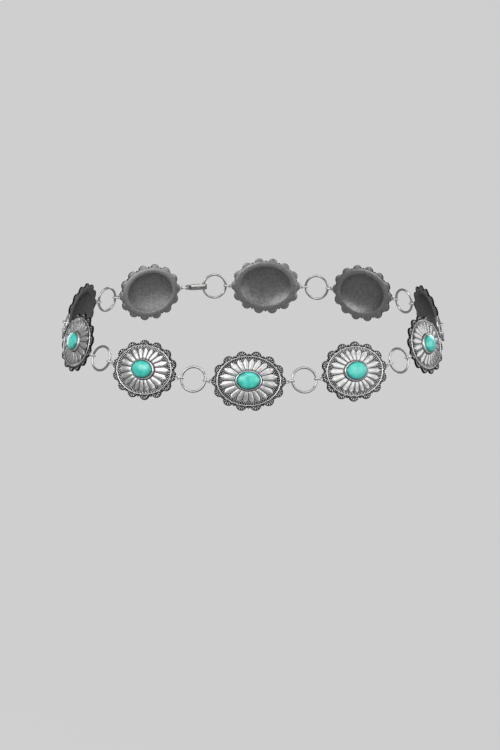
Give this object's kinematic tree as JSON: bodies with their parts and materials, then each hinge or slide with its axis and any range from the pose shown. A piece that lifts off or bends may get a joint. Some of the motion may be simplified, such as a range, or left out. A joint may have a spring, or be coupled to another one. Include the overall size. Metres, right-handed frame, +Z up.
{
  "type": "concho chain belt",
  "caption": "Chain belt of scalloped oval silver-tone conchos, each set with a turquoise cabochon, joined by round rings and closed by a hook.",
  "frame": {"origin": "centre of the loop at the middle of its height, where the wearer's waist axis passes", "axes": "+Z up along the wearer's waist, -Y to the wearer's front, +X to the wearer's left"},
  "size_m": [0.2716, 0.2268, 0.1105],
  "materials": {
    "antique_silver": "cast silver-tone alloy, bright on the high parts and oxidised dark in the recesses",
    "bright_silver": "silver-tone wire and strip, lightly polished",
    "turquoise": "polished opaque cabochon, blue-green with faint mottling"
  },
  "bodies": {
    "root": {"concho_1": "antique_silver", "concho_2": "antique_silver", "concho_3": "antique_silver", "concho_4": "antique_silver", "concho_5": "antique_silver", "concho_6": "antique_silver", "concho_7": "antique_silver", "concho_8": "antique_silver", "concho_9": "antique_silver", "concho_10": "antique_silver", "stone_1": "turquoise", "stone_2": "turquoise", "stone_3": "turquoise", "stone_4": "turquoise", "stone_5": "turquoise", "stone_6": "turquoise", "stone_7": "turquoise", "stone_8": "turquoise", "stone_9": "turquoise", "stone_10": "turquoise", "jump_ring_1a": "bright_silver", "ring_1": "bright_silver", "jump_ring_1b": "bright_silver", "jump_ring_2a": "bright_silver", "ring_2": "bright_silver", "jump_ring_2b": "bright_silver", "jump_ring_3a": "bright_silver", "ring_3": "bright_silver", "jump_ring_3b": "bright_silver", "jump_ring_4a": "bright_silver", "ring_4": "bright_silver", "jump_ring_4b": "bright_silver", "jump_ring_5a": "bright_silver", "ring_5": "bright_silver", "jump_ring_5b": "bright_silver", "jump_ring_6a": "bright_silver", "ring_6": "bright_silver", "jump_ring_6b": "bright_silver", "jump_ring_7a": "bright_silver", "ring_7": "bright_silver", "jump_ring_7b": "bright_silver", "jump_ring_8a": "bright_silver", "ring_8": "bright_silver", "jump_ring_8b": "bright_silver", "jump_ring_9a": "bright_silver", "ring_9": "bright_silver", "jump_ring_9b": "bright_silver", "jump_ring_10a": "bright_silver", "ring_10": "bright_silver", "jump_ring_10b": "bright_silver", "hook": "bright_silver"}
  },
  "joints": []
}
